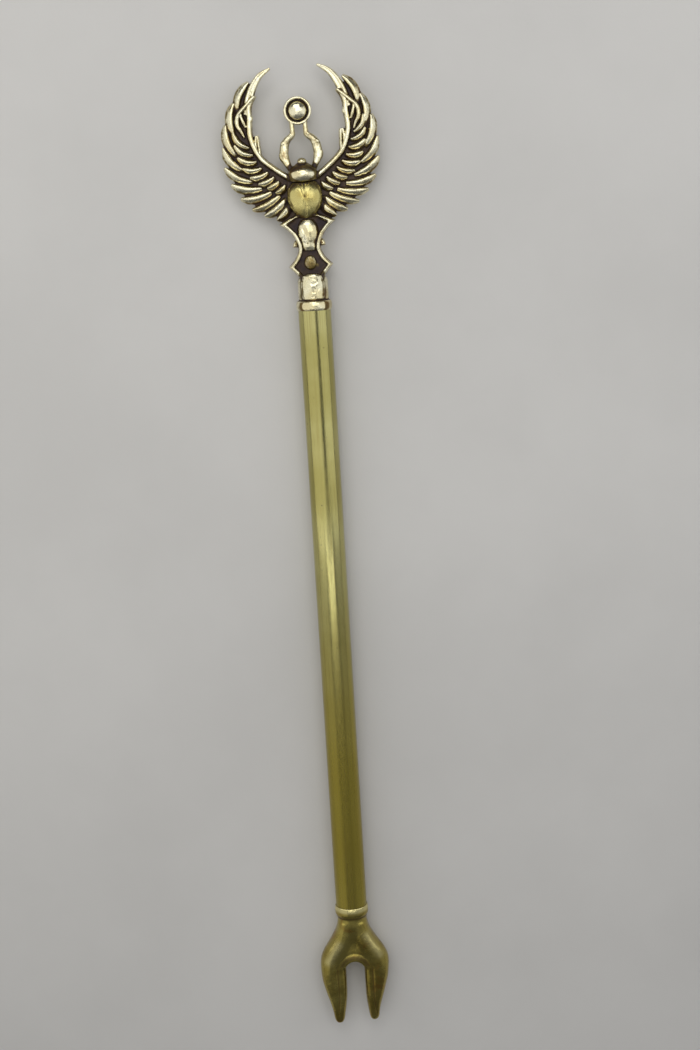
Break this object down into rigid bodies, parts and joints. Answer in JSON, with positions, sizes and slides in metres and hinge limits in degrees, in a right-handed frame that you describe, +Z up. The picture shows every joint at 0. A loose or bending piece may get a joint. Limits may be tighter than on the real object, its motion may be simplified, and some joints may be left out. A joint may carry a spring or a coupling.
{
  "type": "sceptre",
  "caption": "Brass sceptre: a winged scarab head that holds up a sun disc, a round tube shaft and a two-pronged forked foot.",
  "frame": {"origin": "middle of the small rest flat under the foot's collar, on the surface that the sceptre lies on", "axes": "+Y along the shaft towards the winged head, +Z up out of the front of the lying sceptre, +X to the right as it is seen from above with the head at the top"},
  "size_m": [0.075, 0.49, 0.0171],
  "materials": {
    "head_brass": "polished cast brass with dark patina in the recesses",
    "tube_brass": "polished drawn brass tube with fine lengthwise marks",
    "foot_brass": "smooth cast brass, slightly toned"
  },
  "bodies": {
    "root": {"winged_scarab_head": "head_brass", "shaft_tube": "tube_brass", "forked_foot": "foot_brass"}
  },
  "joints": []
}
